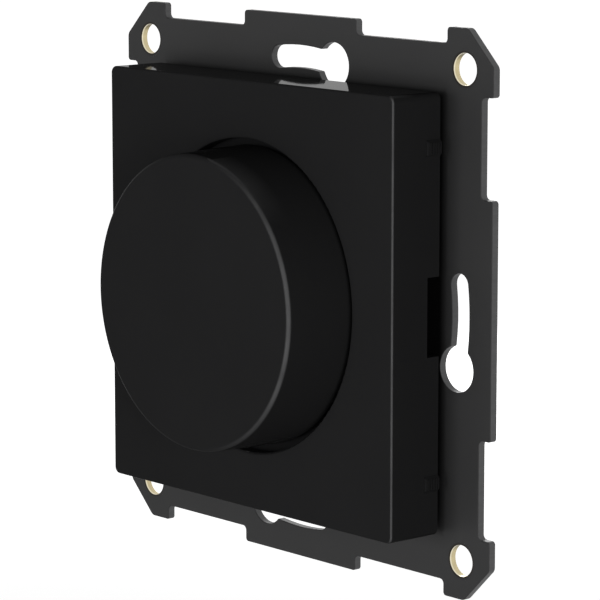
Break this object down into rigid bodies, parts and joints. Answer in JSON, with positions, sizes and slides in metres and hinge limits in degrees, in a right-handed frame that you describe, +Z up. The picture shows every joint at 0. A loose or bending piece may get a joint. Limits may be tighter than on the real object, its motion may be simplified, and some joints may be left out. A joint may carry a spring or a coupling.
{
  "type": "wireless rotary dimmer",
  "caption": "Flush wall dimmer with a square clip-on cover, a large push-and-turn knob and a punched steel support frame with curved keyhole slots.",
  "frame": {"origin": "middle of the four corner holes, on the support frame's back face, which lies on the wall", "axes": "+X to the right seen from the front, +Z up the wall, -Y out of the wall along the knob's axis"},
  "size_m": [0.0708, 0.0192, 0.0708],
  "materials": {
    "black_plastic": "fine matt black moulded plastic",
    "painted_steel": "matt dark grey paint on sheet steel",
    "eyelet_brass": "polished brass",
    "inner_plastic": "matt black moulded plastic",
    "screw_steel": "zinc-plated steel",
    "cell_steel": "nickel-plated steel",
    "contact_metal": "tinned spring metal",
    "board_laminate": "green solder resist on glass laminate",
    "chip_resin": "matt moulding resin",
    "capacitor_ceramic": "fired ceramic",
    "shaft_aluminium": "turned",
    "rotor_plastic": "natural engineering plastic"
  },
  "bodies": {
    "root": {"support_frame": "painted_steel", "eyelet_top_right": "eyelet_brass", "eyelet_top_left": "eyelet_brass", "eyelet_bottom_left": "eyelet_brass", "eyelet_bottom_right": "eyelet_brass", "module_tray": "inner_plastic", "module_lid": "inner_plastic", "lid_screws": "screw_steel", "frame_screws": "screw_steel", "coin_cell": "cell_steel", "cell_clip_right": "contact_metal", "cell_clip_left": "contact_metal", "cell_leaf": "contact_metal", "circuit_board": "board_laminate", "radio_board": "board_laminate", "radio_shield": "contact_metal", "main_chip": "chip_resin", "crystal_can": "contact_metal", "ceramic_capacitors": "capacitor_ceramic", "encoder_housing": "chip_resin", "encoder_bracket": "contact_metal", "detent_spring": "contact_metal", "switch_dome": "contact_metal", "cover": "black_plastic"},
    "rotor": {"encoder_rotor": "rotor_plastic"},
    "knob": {"knob": "black_plastic", "leaf_spring": "contact_metal", "encoder_shaft": "shaft_aluminium"}
  },
  "joints": [
    {"name": "knob_turn", "type": "hinge", "parent": "root", "child": "rotor", "pos_m": [0, 0, 0], "axis": [0, 1, 0], "continuous": true},
    {"name": "knob_press", "type": "slide", "parent": "rotor", "child": "knob", "axis": [0, 1, 0], "range_m": [0, 0.0005], "stiffness_N_per_m": 4000, "springref_m": -0.0003, "deforming": ["switch_dome"]}
  ]
}
